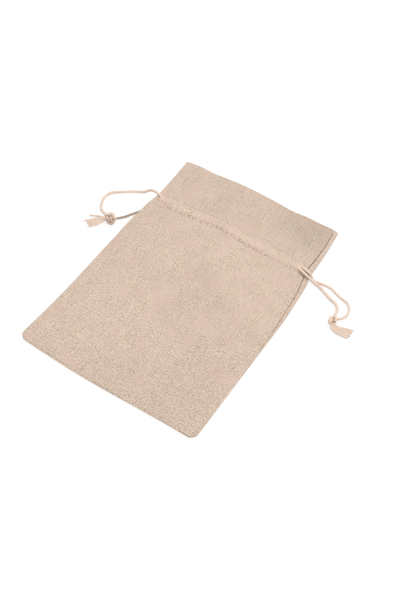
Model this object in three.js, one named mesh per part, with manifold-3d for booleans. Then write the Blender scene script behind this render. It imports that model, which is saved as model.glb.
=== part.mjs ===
// Linen drawstring gift bag, lying flat with its mouth towards +Y.
// Millimetres, +Z up. The floor is z = 0 and the origin is under the middle of the bag.
import * as THREE from 'three';
import { mergeVertices } from 'three/addons/utils/BufferGeometryUtils.js';
import Module from 'manifold-3d';

const wasm = await Module();
wasm.setup();

// Rows of a table as objects, so that each column has its name
function named(columns, rows) {
  return rows.map((row) => Object.fromEntries(columns.map((column, i) => [column, row[i]])));
}

// Cloth and cord sizes
const CLOTH = 1.2;
const HEADING_CLOTH = 1.6;
const GAP = 0.3;
const CORD_RADIUS = 1.05;
const CORD_SIDES = 8;
const CORD_STEP = 4.2;

// Outline of the bag
const BOTTOM = -99;
const MOUTH = 99;
const CORNER_RADIUS = 5;
const CORNER_CLEARANCE = 1.2;
const BOTTOM_LOW_X = -20;
const BOTTOM_RISE = 2.6;
const BOTTOM_RISE_REACH = 86;
const BOTTOM_RISE_FADE = 3;

// Sections from the bottom to the mouth: the left and right edges, the height of the right side,
// the flat part of the back panel's strip on the front, and the height of the crown.
const SECTIONS = named(['y', 'left', 'right', 'side', 'strip', 'crown'], [
  [-99, -70.3, 69.4, 2.7, 0.2, 2.8],
  [-91, -70.3, 69.5, 2.7, 0.2, 4.9],
  [-77, -69.7, 69.7, 2.7, 0.2, 6.8],
  [-49, -69.1, 70.1, 2.8, 0.2, 7.9],
  [-19, -69.6, 70.6, 3.0, 0.2, 8.3],
  [11, -69.9, 70.7, 3.5, 0.2, 8.4],
  [31, -68.8, 70.7, 4.0, 0.7, 8.3],
  [45, -68.1, 69.7, 4.8, 1.4, 8.1],
  [54, -67.8, 68.0, 5.4, 1.1, 8.0],
  [65, -68.0, 67.9, 5.4, 1.2, 7.9],
  [81, -68.6, 67.4, 5.3, 0.8, 7.8],
  [99, -69.6, 65.9, 5.2, 0.5, 7.7],
]);
const CROWN_POWER = 4;
const SEAM_DIP_SHARE = 0.22;
const SEAM_DIP_WIDTH = 1.5;

// The drawstring tunnel across the front: the ridge over the cord, and the stitched line below it.
const TUNNEL = named(['x', 'ridge', 'stitch'], [
  [-72, 54.2, 50.4],
  [-66, 55.7, 53],
  [-55, 54.4, 51.4],
  [-47, 53.9, 49.9],
  [-38, 53.8, 49.2],
  [-26, 54.4, 49.8],
  [-18, 55.0, 50.6],
  [-9, 55.2, 52.2],
  [0, 54.8, 51.8],
  [8, 54.2, 50.4],
  [20, 53.8, 50.4],
  [30, 53.9, 49.9],
  [41, 54.0, 49.8],
  [50, 53.8, 50.8],
  [60, 53.7, 51],
  [69, 54.2, 50.4],
]);
const RIDGE_ROW = 54.2;
const STITCH_ROW = 50.4;
const TUNNEL_ROWS_FROM = 34;
const TUNNEL_ROWS_TO = 74;
const RIDGE_RISE = 1.3;
const RIDGE_WIDTH = 2.6;
const STITCH_RISE = -0.7;
const STITCH_WIDTH = 1.5;
const UPPER_STITCH_RISE = -0.4;
const UPPER_STITCH_OFFSET = 4.2;
const TUNNEL_LEFT_END = -63.5;
const TUNNEL_RIGHT_END = 59.5;
const TUNNEL_END_SLOPE = 3;

// Soft folds of the front panel, each along a line: troughs have a negative rise.
const FOLDS = named(['x0', 'y0', 'x1', 'y1', 'width', 'rise'], [
  [-14, 99, -8, 72, 14, 0.8],
  [-43, 99, -41, 84, 9, -1.4],
  [27, 99, 24, 83, 11, -2.0],
  [-15, 63, -27, 86, 5, -0.7],
  [12.5, 60, 7, 69, 3.5, -0.6],
  [21, 60, 18.5, 73, 4, -0.7],
  [47, 80, 51, 97, 7, -0.7],
  [56, 47, 59, 38, 4.5, -0.8],
  [-60, 40, -54, 48, 5, -0.7],
  [-57.5, 0, -58, -54, 5, -0.6],
  [-58, -54, -50, -90, 5, -0.5],
  [-64.5, 5, -64.5, -60, 3.5, 0.4],
  [-2.5, -12, 27, -8, 6, -0.6],
  [27, -8, 57, -17, 6, -0.6],
  [34, 4, 60, -2, 9, 0.5],
]);

// The back panel is lifted where the left cord's back strand runs under its border.
const LIFT_HEIGHT = 2.5;
const LIFT_FLAT = 3;
const LIFT_REACH = 16;
const LIFT_FRONT_REACH = 18;
const LIFT_SOFTNESS = 0.5;

// Rows of the two panels from the bottom to the mouth, close together at the corners and the tunnel
const FRONT_ROWS = [
  -99, -98.6, -97.9, -96.8, -95.4, -93, -89, -83, -75, -66, -56, -46, -36, -26, -16, -6, 4, 12, 18,
  23, 27.5, 32, 36.5, 41, 45, 47.6, 49.2, 50.4, 51.6, 52.8, 54.2, 55.6, 57, 58.8, 61, 64.5, 69, 74,
  80, 86, 91.5, 95.5, 98, 99,
];
const BACK_ROWS = [
  -99, -98.6, -97.9, -96.8, -95.4, -92, -77, -60, -40, -20, 4, 12, 18, 23, 27.5, 32, 36.5, 41, 45,
  49.2, 52.8, 57, 61, 66, 74, 83, 91, 99,
];
const FRONT_COLUMNS = 36;
const EDGE_PACKING = 0.62;
const BACK_OFFSETS = [0, 3, 6, 9, 12, 15.5, 19.5, 25, 36, 58, 84, 110];
const CURL_STEPS = 8;

// Routes of the four free strands, from inside the bag to the knot, as points on the centre line
const CORD_ROUTES = {
  left_cord_front: [
    [-56, 54.6, 4], [-58.6, 54.9, 4.2], [-61.2, 55.6, 4.7], [-63.6, 56.4, 5.4], [-66, 57, 5.8],
    [-69.2, 57.5, 5.8], [-72.2, 57.7, 5.2], [-74.4, 57.6, 4.4], [-76, 57, 3.3], [-77.6, 56.2, 2.1],
    [-79.6, 55.2, 1.4], [-82, 54, 1.15], [-85.6, 51.9, 1.15], [-90.9, 48.1, 1.15], [-95.8, 44.5, 1.15],
    [-99.1, 41.5, 1.15], [-100.8, 37.5, 1.15], [-100.8, 32.8, 1.15], [-99.4, 28.4, 1.15],
    [-97, 24.9, 1.15], [-94, 22.4, 1.4], [-90.2, 20.7, 2.2], [-86.2, 19.8, 3],
  ],
  left_cord_back: [
    [-57.6, 45.6, 1.15], [-60.6, 45.1, 1.15], [-63.4, 43.9, 1.15], [-65.9, 42, 1.15], [-68.2, 39.5, 1.15],
    [-70.5, 36.4, 1.15], [-72.6, 33, 1.15], [-74.6, 29.6, 1.15], [-76.3, 26.6, 1.4], [-77.8, 23.8, 2.2],
    [-79.25, 21.05, 3.1],
  ],
  right_cord_inner: [
    [52, 53.9, 4.8], [54.6, 53.8, 4.9], [57.4, 53.6, 5.6], [60.6, 52.6, 6.7], [63.9, 51.5, 7],
    [67.2, 50.8, 6.5], [70.6, 50.6, 4.4], [73.9, 50.8, 2.1], [77.2, 50.5, 1.2], [81.3, 48.5, 1.15],
    [85.5, 46.4, 1.15], [89.8, 44.6, 1.15], [93.2, 43.8, 1.15], [95.8, 41.7, 1.3], [97.4, 38.6, 2.1],
    [98.1, 35.6, 3.3], [98.5, 33, 4],
  ],
  right_cord_outer: [
    [53.6, 57.4, 3.6], [56.2, 57.1, 3.9], [58.6, 56.5, 4.9], [61, 55.6, 6.3], [63.4, 54.8, 7],
    [65.6, 54.3, 7.1], [67.5, 54, 6.5], [68.9, 53.7, 5], [69.8, 53.5, 3.4], [70.8, 53.4, 2.1],
    [72.8, 53.4, 1.3], [76, 53.4, 1.15], [81.6, 53.7, 1.15], [85.6, 53.2, 1.15], [90, 51.6, 1.15],
    [93.8, 50.3, 1.15],
    [97.2, 49.6, 1.15], [100.3, 48.6, 1.15], [102.8, 46.4, 1.15], [104.4, 43, 1.15], [104.8, 39.2, 1.25],
    [103.9, 35.6, 1.9], [101.5, 31.8, 3],
  ],
};

// Knots: where each stands, the way its frayed ends point, and the fan that those ends make, in degrees
const KNOTS = named(['name', 'x', 'y', 'heading', 'strands', 'length', 'fan', 'bend'], [
  ['left_knot', -82.7, 18.2, 214, 9, 17, 48, 6],
  ['right_knot', 98.9, 28.5, -60, 10, 15, 30, 63],
]);
const KNOT_RING_RADIUS = 2.3;
const KNOT_WRAP_RADIUS = 1.15;
const KNOT_CORE_RADIUS = 2.6;
const KNOT_CORE_HALF_LENGTH = 4.3;
const KNOT_CORE_SIDES = 12;
const KNOT_CORE_RINGS = 8;
const KNOT_WRAPS = [
  { shift: -1.4, tilt: 16, turn: 10 },
  { shift: 1.1, tilt: -20, turn: -14 },
];
const KNOT_HEIGHT = 3.6;
const WRAP_SIDES = 8;
const WRAP_STEPS = 20;
const STRAND_HALF = 0.5;
const STRAND_TIP = 0.75;
const STRAND_STEPS = 6;
const STRAND_LENGTH_SHARES = [1, 0.68, 0.84];
const STRAND_ROOT_FROM = 3.3;
const STRAND_ROOT_SPREAD = 1.5;
const STRAND_ROOT_BACK = 1.5;
const STRAND_FLOOR_SHARE = 0.42;

const smooth = THREE.MathUtils.smoothstep;
const radians = THREE.MathUtils.degToRad;

// Cubic curve through one column of a table, over a key column that rises
function tableValue(rows, key, column, at) {
  const last = rows.length - 1;
  const place = THREE.MathUtils.clamp(at, rows[0][key], rows[last][key]);
  const after = rows.findIndex((row) => row[key] > place);
  const low = after < 0 ? last - 1 : after - 1;
  const slopeAt = (k) => {
    const before = rows[Math.max(k - 1, 0)];
    const next = rows[Math.min(k + 1, last)];
    return (next[column] - before[column]) / (next[key] - before[key]);
  };
  const span = rows[low + 1][key] - rows[low][key];
  const t = (place - rows[low][key]) / span;
  const start = rows[low][column];
  const rise = rows[low + 1][column] - start;
  const pull = t * (1 - t) ** 2 * slopeAt(low) - t * t * (1 - t) * slopeAt(low + 1);
  return start + rise * t * t * (3 - 2 * t) + span * pull;
}

function section(name, y) {
  return tableValue(SECTIONS, 'y', name, y);
}

function tunnelLine(name, x) {
  return tableValue(TUNNEL, 'x', name, x);
}

// How far the side edges draw in at the rounded bottom corners
function cornerInset(y) {
  const short = Math.max(CORNER_RADIUS - (y - BOTTOM), 0);
  return CORNER_RADIUS - Math.sqrt(CORNER_RADIUS ** 2 - short ** 2);
}

function leftEdge(y) {
  return section('left', y) + cornerInset(y);
}

function rightEdge(y) {
  return section('right', y) - cornerInset(y);
}

function seamLine(y) {
  return rightEdge(y) - section('side', y) / 2 - section('strip', y);
}

// The bottom edge bows: rows near it move up away from its lowest point.
function bowedRow(x, y) {
  const share = (MOUTH - y) / (MOUTH - BOTTOM);
  return y + BOTTOM_RISE * ((x - BOTTOM_LOW_X) / BOTTOM_RISE_REACH) ** 2 * share ** BOTTOM_RISE_FADE;
}

// Rows near the tunnel follow its ridge and its stitched line.
function tunnelRow(x, y) {
  const stops = [
    [TUNNEL_ROWS_FROM, TUNNEL_ROWS_FROM],
    [STITCH_ROW, tunnelLine('stitch', x)],
    [RIDGE_ROW, tunnelLine('ridge', x)],
    [TUNNEL_ROWS_TO, TUNNEL_ROWS_TO],
  ];
  const above = stops.findIndex((stop) => stop[0] >= y);
  if (above <= 0) return y;
  const [from, to] = stops.slice(above - 1, above + 1);
  return THREE.MathUtils.mapLinear(y, from[0], to[0], from[1], to[1]);
}

function distanceToSegment(x, y, x0, y0, x1, y1) {
  const [along, across] = [x1 - x0, y1 - y0];
  const share = ((x - x0) * along + (y - y0) * across) / (along ** 2 + across ** 2);
  const t = THREE.MathUtils.clamp(share, 0, 1);
  return Math.hypot(x - x0 - t * along, y - y0 - t * across);
}

// Height of the back panel's underside over the floor
function lift(x, y, reach = LIFT_REACH) {
  const route = CORD_ROUTES.left_cord_back;
  const distances = route.slice(1).map((point, i) => (
    distanceToSegment(x, y, route[i][0], route[i][1], point[0], point[1])
  ));
  return LIFT_HEIGHT * (1 - smooth(Math.min(...distances), LIFT_FLAT, reach));
}

function bump(distance, width) {
  return Math.exp(-((distance / width) ** 2));
}

// Rise of the tunnel's ridge and its two stitched lines over the cloth around them
function tunnelRise(x, y) {
  const ends = smooth(x, TUNNEL_LEFT_END - TUNNEL_END_SLOPE, TUNNEL_LEFT_END)
    * (1 - smooth(x, TUNNEL_RIGHT_END, TUNNEL_RIGHT_END + TUNNEL_END_SLOPE));
  const fromRidge = y - tunnelLine('ridge', x);
  const ridge = RIDGE_RISE * bump(fromRidge, RIDGE_WIDTH);
  const stitch = STITCH_RISE * bump(y - tunnelLine('stitch', x), STITCH_WIDTH);
  const upper = UPPER_STITCH_RISE * bump(fromRidge - UPPER_STITCH_OFFSET, STITCH_WIDTH);
  return ends * (ridge + stitch + upper);
}

function foldRise(x, y) {
  return FOLDS.reduce((sum, { x0, y0, x1, y1, width, rise }) => (
    sum + rise * bump(distanceToSegment(x, y, x0, y0, x1, y1), width)
  ), 0);
}

// The turned heading is two layers of cloth, down to the tunnel's stitched line.
function frontThickness(row) {
  return THREE.MathUtils.lerp(CLOTH, HEADING_CLOTH, smooth(row, STITCH_ROW, RIDGE_ROW));
}

// Upper face of the front panel. The row is the unbowed y that the section table is read at.
function frontHeight(x, y, row) {
  const left = leftEdge(row);
  const seam = seamLine(row);
  const across = (2 * x - left - seam) / (seam - left);
  const flat = CLOTH + GAP + frontThickness(row);
  const edge = THREE.MathUtils.mapLinear(across, -1, 1, flat, section('side', row));
  const crown = (section('crown', row) - edge) * (1 - Math.abs(across) ** CROWN_POWER);
  const nearSeam = 1 - smooth(seam - x, 0, SEAM_DIP_WIDTH);
  const seamDip = SEAM_DIP_SHARE * (section('side', row) - flat) * nearSeam;
  const free = edge + crown + foldRise(x, y) + tunnelRise(x, y) - seamDip;
  const rise = lift(x, y, LIFT_FRONT_REACH);
  const raised = flat + rise;
  return (free + raised + Math.hypot(free - raised, LIFT_SOFTNESS * rise)) / 2;
}

// A closed sheet between two grids of points with the same rows and columns
function sheetGeometry(upper, lower) {
  const rows = upper.length;
  const columns = upper[0].length;
  const points = [...upper.flat(), ...lower.flat()];
  const under = rows * columns;
  const index = [];
  const quad = (a, b, c, d) => index.push(a, b, c, a, c, d);
  for (let r = 0; r < rows - 1; r += 1) {
    for (let c = 0; c < columns - 1; c += 1) {
      const a = r * columns + c;
      quad(a, a + 1, a + columns + 1, a + columns);
      quad(under + a, under + a + columns, under + a + columns + 1, under + a + 1);
    }
  }
  for (let c = 0; c < columns - 1; c += 1) {
    const far = (rows - 1) * columns + c;
    quad(c, under + c, under + c + 1, c + 1);
    quad(far, far + 1, under + far + 1, under + far);
  }
  for (let r = 0; r < rows - 1; r += 1) {
    const a = r * columns;
    const b = a + columns - 1;
    quad(a, a + columns, under + a + columns, under + a);
    quad(b, under + b, under + b + columns, b + columns);
  }
  const geometry = new THREE.BufferGeometry().setFromPoints(points);
  geometry.setIndex(index);
  return geometry;
}

// A closed body through rings of points, with a flat fan at each end
function ringGeometry(rings) {
  const sides = rings[0].length;
  const index = [];
  for (let r = 0; r < rings.length - 1; r += 1) {
    for (let s = 0; s < sides; s += 1) {
      const a = r * sides + s;
      const b = r * sides + ((s + 1) % sides);
      index.push(a, b, b + sides, a, b + sides, a + sides);
    }
  }
  const last = (rings.length - 1) * sides;
  for (let s = 1; s < sides - 1; s += 1) {
    index.push(0, s + 1, s, last, last + s, last + s + 1);
  }
  const geometry = new THREE.BufferGeometry().setFromPoints(rings.flat());
  geometry.setIndex(index);
  return geometry;
}

function solidFrom(geometry) {
  const bare = geometry.clone();
  bare.deleteAttribute('normal');
  bare.deleteAttribute('uv');
  const merged = mergeVertices(bare);
  return new wasm.Manifold(new wasm.Mesh({
    numProp: 3,
    vertProperties: new Float32Array(merged.attributes.position.array),
    triVerts: new Uint32Array(merged.index.array),
  }));
}

function geometryFrom(solid) {
  const mesh = solid.getMesh();
  const geometry = new THREE.BufferGeometry();
  geometry.setAttribute('position', new THREE.Float32BufferAttribute(mesh.vertProperties, 3));
  geometry.setIndex(Array.from(mesh.triVerts));
  return geometry;
}

// A tube along a route, thicker than the cord by the clearance. An arc has two sides a segment.
function cordGeometry(route, clearance = 0) {
  const curve = new THREE.CatmullRomCurve3(route.map((point) => new THREE.Vector3(...point)));
  const ring = new THREE.Shape();
  ring.absarc(0, 0, CORD_RADIUS + clearance, 0, 2 * Math.PI);
  return new THREE.ExtrudeGeometry(ring, {
    extrudePath: curve,
    steps: Math.round(curve.getLength() / CORD_STEP),
    curveSegments: CORD_SIDES / 2,
    bevelEnabled: false,
  });
}

// The front panel, with holes where three strands leave the tunnel's ends
function frontPanel() {
  const shares = Array.from({ length: FRONT_COLUMNS + 1 }, (_, i) => {
    const s = i / FRONT_COLUMNS;
    return s - EDGE_PACKING * Math.sin(2 * Math.PI * s) / (2 * Math.PI);
  });
  const upper = FRONT_ROWS.map((row) => shares.map((share) => {
    const seamGap = GAP * (1 + CORNER_CLEARANCE * cornerInset(row));
    const x = THREE.MathUtils.lerp(leftEdge(row), seamLine(row) - seamGap, share);
    const y = bowedRow(x, tunnelRow(x, row));
    return new THREE.Vector3(x, y, frontHeight(x, y, row));
  }));
  const lower = upper.map((line, r) => line.map((point) => (
    new THREE.Vector3(point.x, point.y, point.z - frontThickness(FRONT_ROWS[r]))
  )));
  const holes = ['left_cord_front', 'right_cord_inner', 'right_cord_outer'];
  const solid = holes.reduce(
    (cloth, name) => cloth.subtract(solidFrom(cordGeometry(CORD_ROUTES[name], GAP))),
    solidFrom(sheetGeometry(upper, lower)),
  );
  return geometryFrom(solid);
}

// One section of the back panel: flat on the floor, then curled up round the right side to the seam.
// The inset is 0 on the outer face and the cloth's thickness on the inner face.
function backSection(row, inset) {
  const height = section('side', row);
  const turn = rightEdge(row) - height / 2;
  const flat = BACK_OFFSETS.map((offset) => leftEdge(row) + offset);
  const line = [...flat, turn].map((x) => {
    const y = bowedRow(x, row);
    return new THREE.Vector3(x, y, lift(x, y) + inset);
  });
  for (let i = 1; i <= CURL_STEPS; i += 1) {
    const angle = THREE.MathUtils.lerp(-Math.PI / 2, Math.PI / 2, i / CURL_STEPS);
    const x = turn + (height / 2 - inset) * Math.cos(angle);
    const z = height / 2 + (height / 2 - inset) * Math.sin(angle);
    line.push(new THREE.Vector3(x, bowedRow(x, row), z));
  }
  const seam = seamLine(row);
  line.push(new THREE.Vector3(seam, bowedRow(seam, row), height - inset));
  return line;
}

function backPanel() {
  const inner = BACK_ROWS.map((row) => backSection(row, CLOTH));
  const outer = BACK_ROWS.map((row) => backSection(row, 0));
  return sheetGeometry(inner, outer);
}

// One frayed yarn from the knot down to the floor and along it
function strandGeometry(origin, angle, length, side) {
  const rings = [];
  for (let i = 0; i <= STRAND_STEPS; i += 1) {
    const t = i / STRAND_STEPS;
    const turned = angle.start + (angle.end - angle.start) * t;
    const reach = THREE.MathUtils.lerp(-STRAND_ROOT_BACK, length, t);
    const across = side * STRAND_ROOT_SPREAD * (1 - t);
    const drop = 1 - smooth(t, 0, STRAND_FLOOR_SHARE);
    const centre = new THREE.Vector3(
      origin.x + reach * Math.cos(turned) - across * Math.sin(turned),
      origin.y + reach * Math.sin(turned) + across * Math.cos(turned),
      STRAND_HALF + (origin.z - STRAND_HALF) * drop,
    );
    const half = STRAND_HALF * THREE.MathUtils.lerp(1, STRAND_TIP, t);
    const sideways = new THREE.Vector3(-Math.sin(turned), Math.cos(turned), 0).multiplyScalar(half);
    const lowered = centre.clone().setZ(centre.z - STRAND_HALF + half);
    rings.push([[1, -1], [1, 1], [-1, 1], [-1, -1]].map(([s, up]) => (
      lowered.clone().addScaledVector(sideways, s).setZ(lowered.z + up * half)
    )));
  }
  return ringGeometry(rings);
}

// The outer shell alone, with no sealed pocket left between the frayed ends
function outerShell(solid) {
  return solid.decompose().reduce((best, shell) => (shell.volume() > best.volume() ? shell : best));
}

// A knot of two strands: a core, two wraps round it, and the frayed ends fused into it
function knotGeometry({ x, y, heading, strands, length, fan, bend }) {
  const axis = radians(heading);
  const place = new THREE.Matrix4().makeRotationZ(axis).setPosition(x, y, KNOT_HEIGHT);
  const core = new THREE.SphereGeometry(KNOT_CORE_RADIUS, KNOT_CORE_SIDES, KNOT_CORE_RINGS);
  core.scale(KNOT_CORE_HALF_LENGTH / KNOT_CORE_RADIUS, 1, 1);
  let solid = solidFrom(core.applyMatrix4(place));
  KNOT_WRAPS.forEach(({ shift, tilt, turn }) => {
    const wrap = new THREE.TorusGeometry(KNOT_RING_RADIUS, KNOT_WRAP_RADIUS, WRAP_SIDES, WRAP_STEPS);
    wrap.rotateY(Math.PI / 2 + radians(tilt));
    wrap.rotateZ(radians(turn));
    wrap.translate(shift, 0, 0);
    solid = solid.add(solidFrom(wrap.applyMatrix4(place)));
  });
  const root = new THREE.Vector3(STRAND_ROOT_FROM, 0, 0).applyMatrix4(place);
  for (let i = 0; i < strands; i += 1) {
    const side = (2 * i) / (strands - 1) - 1;
    const start = axis + radians(side * fan / 2);
    const angle = { start, end: start + radians(bend) };
    const reach = length * STRAND_LENGTH_SHARES[i % STRAND_LENGTH_SHARES.length];
    solid = solid.add(solidFrom(strandGeometry(root, angle, reach, side)));
  }
  return geometryFrom(outerShell(solid));
}

const LINEN = { color: 0xd9c3b2, roughness: 0.95, metalness: 0 };
const COTTON = { color: 0xead7c0, roughness: 0.9, metalness: 0 };

function piece(name, geometry, look) {
  const mesh = new THREE.Mesh(geometry, new THREE.MeshStandardMaterial(look));
  mesh.name = name;
  return mesh;
}

const bag = new THREE.Group();
bag.add(piece('front_panel', frontPanel(), LINEN));
bag.add(piece('back_panel', backPanel(), LINEN));
Object.entries(CORD_ROUTES).forEach(([name, route]) => {
  bag.add(piece(name, cordGeometry(route), COTTON));
});
KNOTS.forEach((knot) => {
  bag.add(piece(knot.name, knotGeometry(knot), COTTON));
});

export default bag;
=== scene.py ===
"""A linen drawstring gift bag lying empty: two sewn linen panels and two knotted cotton drawcords."""
import math

import bpy
import numpy as np
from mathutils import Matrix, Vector


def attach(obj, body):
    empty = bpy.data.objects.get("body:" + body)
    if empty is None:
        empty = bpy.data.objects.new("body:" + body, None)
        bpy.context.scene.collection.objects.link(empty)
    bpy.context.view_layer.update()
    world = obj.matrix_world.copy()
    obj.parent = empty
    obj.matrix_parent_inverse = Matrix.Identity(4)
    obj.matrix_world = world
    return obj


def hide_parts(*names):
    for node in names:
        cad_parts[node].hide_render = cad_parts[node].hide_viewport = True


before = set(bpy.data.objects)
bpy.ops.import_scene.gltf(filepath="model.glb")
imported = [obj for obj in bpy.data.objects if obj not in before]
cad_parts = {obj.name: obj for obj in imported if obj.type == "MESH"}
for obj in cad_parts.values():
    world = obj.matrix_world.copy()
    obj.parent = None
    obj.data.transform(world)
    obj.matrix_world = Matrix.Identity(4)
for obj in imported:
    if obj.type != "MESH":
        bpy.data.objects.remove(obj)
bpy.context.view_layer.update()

# Lengths are in millimetres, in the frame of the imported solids, until a mesh or an object is made.
MM = 0.001
TINY = 1e-9


def columns(names, rows):
    """A table's columns by name."""
    return dict(zip(names.split(), np.array(rows, float).T))


# Camera, as the photograph was taken
CAMERA_AIM = (13.94, -5.22, 0.0)
CAMERA_AZIMUTH = 33.736
CAMERA_ELEVATION = 54.411
CAMERA_DISTANCE = 529.93
FOCAL_PIXELS = 761.54
IMAGE_HEIGHT = 601
SENSOR = 36.0

# Outline of the bag
BOTTOM = -99.0
MOUTH = 99.0
CORNER_RADIUS = 5.0

# How far the bottom and the mouth lie above their straight lines, and how fast that fades along the bag
ENDS = columns("x bottom mouth", [
    (-70, 0.85, 1.20),
    (-60, 0.40, 0.30),
    (-50, 0.15, -0.10),
    (-40, -0.10, -0.20),
    (-30, -0.25, -0.70),
    (-15, -0.15, -0.50),
    (0, 0.30, -0.45),
    (15, 0.95, -0.40),
    (30, 1.60, -0.45),
    (45, 2.25, -0.35),
    (58, 2.65, 0.30),
    (70, 3.00, 0.50),
])
BOTTOM_FADE = 3
MOUTH_FADE = 8

# Sections from the bottom to the mouth: the left and right edges, the height of the right side, the flat
# part of the back panel's strip on the front, the share of that strip that shows, and the crown's height
SECTIONS = columns("y left right side strip shown crown", [
    (-99, -70.3, 69.5, 2.7, 0.2, 0.05, 2.8),
    (-91, -70.3, 69.8, 2.7, 0.2, 0.05, 4.9),
    (-77, -69.7, 70.0, 2.7, 0.2, 0.05, 6.8),
    (-49, -69.1, 70.4, 2.8, 0.2, 0.05, 7.9),
    (-19, -69.6, 70.9, 3.0, 0.2, 0.44, 8.3),
    (11, -69.9, 71.4, 3.5, 1.1, 0.75, 8.4),
    (31, -68.8, 70.6, 4.0, 0.6, 1.00, 8.3),
    (45, -68.1, 69.7, 4.8, 1.4, 1.00, 8.1),
    (54, -67.8, 68.0, 5.4, 1.1, 1.00, 8.0),
    (65, -68.0, 67.9, 5.4, 1.2, 0.87, 7.9),
    (81, -68.6, 67.4, 5.3, 0.8, 0.84, 7.8),
    (99, -69.6, 65.9, 5.2, 0.5, 0.95, 7.7),
])
CROWN_POWER = 4

# The drawstring tunnel: the ridge over the cord and the stitched line below it
TUNNEL = columns("x ridge stitch", [
    (-72, 54.2, 50.4),
    (-66, 55.7, 52.6),
    (-55, 54.4, 50.6),
    (-47, 53.9, 49.2),
    (-38, 53.8, 48.8),
    (-26, 54.4, 49.3),
    (-18, 55.0, 50.0),
    (-9, 55.2, 51.2),
    (0, 54.8, 51.2),
    (8, 54.2, 50.1),
    (20, 53.8, 49.0),
    (30, 53.9, 48.8),
    (41, 54.0, 48.9),
    (50, 53.8, 49.7),
    (60, 53.7, 50.4),
    (69, 54.2, 50.4),
])
RIDGE_ROW = 54.2
STITCH_ROW = 50.4
TUNNEL_ROWS_FROM = 34.0
TUNNEL_ROWS_TO = 74.0
RIDGE_RISE = 0.6
RIDGE_WIDTH = 2.8
STITCH_RISE = -0.3
STITCH_WIDTH = 1.0
UPPER_STITCH_RISE = -0.12
UPPER_STITCH_OFFSET = 4.2
UPPER_STITCH_ROW = 58.4
UPPER_THREAD_ROW = 56.3
# Painted light along the tunnel's ridge: least and greatest share, width, unevenness size and seed
RIDGE_PAINTED_LIGHT = (0.1, 0.42)
RIDGE_LIGHT_WIDTH = 2.4
RIDGE_LIGHT_SIZE = 4.0
RIDGE_LIGHT_SEED = 6
TUNNEL_LEFT_END = -65.0
TUNNEL_RIGHT_END = 59.5
TUNNEL_END_SLOPE = 3.0

# Soft folds of the front panel: the ends of each one's line, its width, and its rise, which is negative
# in a trough
FOLDS = [
    (-14, 99, -8, 72, 14, 0.8),
    (-43, 99, -41, 84, 9, -1.4),
    (27, 99, 24, 83, 11, -2.0),
    (-15, 63, -27, 86, 5, -0.7),
    (12.5, 60, 7, 69, 3.5, -0.6),
    (21, 60, 18.5, 73, 4, -0.7),
    (47, 80, 51, 97, 7, -0.7),
    (56, 47, 59, 38, 4.5, -0.8),
    (-60, 40, -54, 48, 5, -0.7),
    (-57.5, 0, -58, -54, 5, -0.6),
    (-58, -54, -50, -90, 5, -0.5),
    (-64.5, 5, -64.5, -60, 3.5, 0.4),
    (-2.5, -12, 27, -8, 6, -0.6),
    (27, -8, 57, -17, 6, -0.6),
    (34, 4, 60, -2, 9, 0.5),
]

# Painted shade on soft places of the front panel: the middle of each, its width, and its share of the
# darkest painted tone, which is negative where painted light makes the cloth lighter
PAINTED_SHADE_SPOTS = [
    (54, 92, 26, 0.48),
    (-40, 92, 34, 0.10),
    (10, 92, 34, 0.12),
    (-18, 70, 16, 0.10),
    (54, -66, 26, 0.16),
    (-36, -48, 24, -0.12),
    (-36, -92, 14, -0.12),
    (54, -5, 12, -0.18),
    (54, -20, 12, 0.18),
    (20, 38, 16, -0.12),
    (-54, 36, 14, 0.10),
    (42, 94, 18, 0.14),
    (12, -6, 18, 0.16),
]

# Cloth. The solids' sheets and the gap between them set where its outer faces lie.
SOLID_CLOTH = 1.2
SOLID_HEADING = 1.6
SOLID_GAP = 0.3
LINEN = 0.6
HEADING = 1.2
EDGE_MIDDLE = 1.35
RIM_GAP = 0.06
RIM_BLEND = 20.0
SEAM_ROLL = 0.6
SEAM_DROP = 0.6
SIDE_SHARPNESS = 0.4

# Half-open side seam: the gap between the two panels' edges on the front
SEAM_GAPS = columns("y gap", [
    (-99, 0.02),
    (10, 0.02),
    (28, 0.04),
    (40, 0.09),
    (47, 0.13),
    (54, 0.20),
    (62, 0.34),
    (69, 0.16),
    (80, 0.15),
    (94, 0.15),
    (99, 0.12),
])

# The cloth is lifted where the left cord's back strand runs under its border.
LIFT_HEIGHT = 2.5
LIFT_FLAT = 3.0
LIFT_BACK_REACH = 16.0
LIFT_FRONT_REACH = 18.0
LIFT_SOFTNESS = 0.5

# Fine unevenness of the front panel: lump size, height and seed
LUMPS = [(26.0, 0.22, 3), (10.0, 0.10, 4), (4.5, 0.04, 5)]
NOISE_CELLS = 64
LUMP_EDGE_FADE = 4.0

# Small pleats at the tunnel's stitched line, each between a least and a greatest value
PUCKERS = 46
PUCKER_SEED = 11
PUCKER_SHIFT = 1.2
PUCKER_LEAN = 0.35
PUCKER_WIDTH = (0.8, 1.9)
PUCKER_HEIGHT = (0.08, 0.24)
PUCKER_BELOW = (2.5, 8.0)
PUCKER_ABOVE = (2.0, 5.0)

# Stitches of the tunnel
STITCH_PITCH = 3.3
STITCH_SHIFT = 0.7
STITCH_LENGTH = (1.0, 1.7)
STITCH_RADIUS = (0.28, 0.46)
STITCH_SIDES = 6
STITCH_STEPS = 8
STITCH_SEED = 21
DIMPLE_SEED = 1
STITCH_SUNK = 0.22
STITCH_PROUD = 0.32
STITCH_TURN = 0.25
STITCH_DIMPLE = 0.45
STITCH_DIMPLE_LEAST = 0.25
UPPER_STITCH_SHARE = 0.35
STITCH_DIMPLE_LENGTH = 0.95
STITCH_DIMPLE_WIDTH = 0.75
# Painted shade in the stitch holes, as a share of the darkest painted tone
STITCH_PAINTED_SHADE = 1.5

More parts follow.
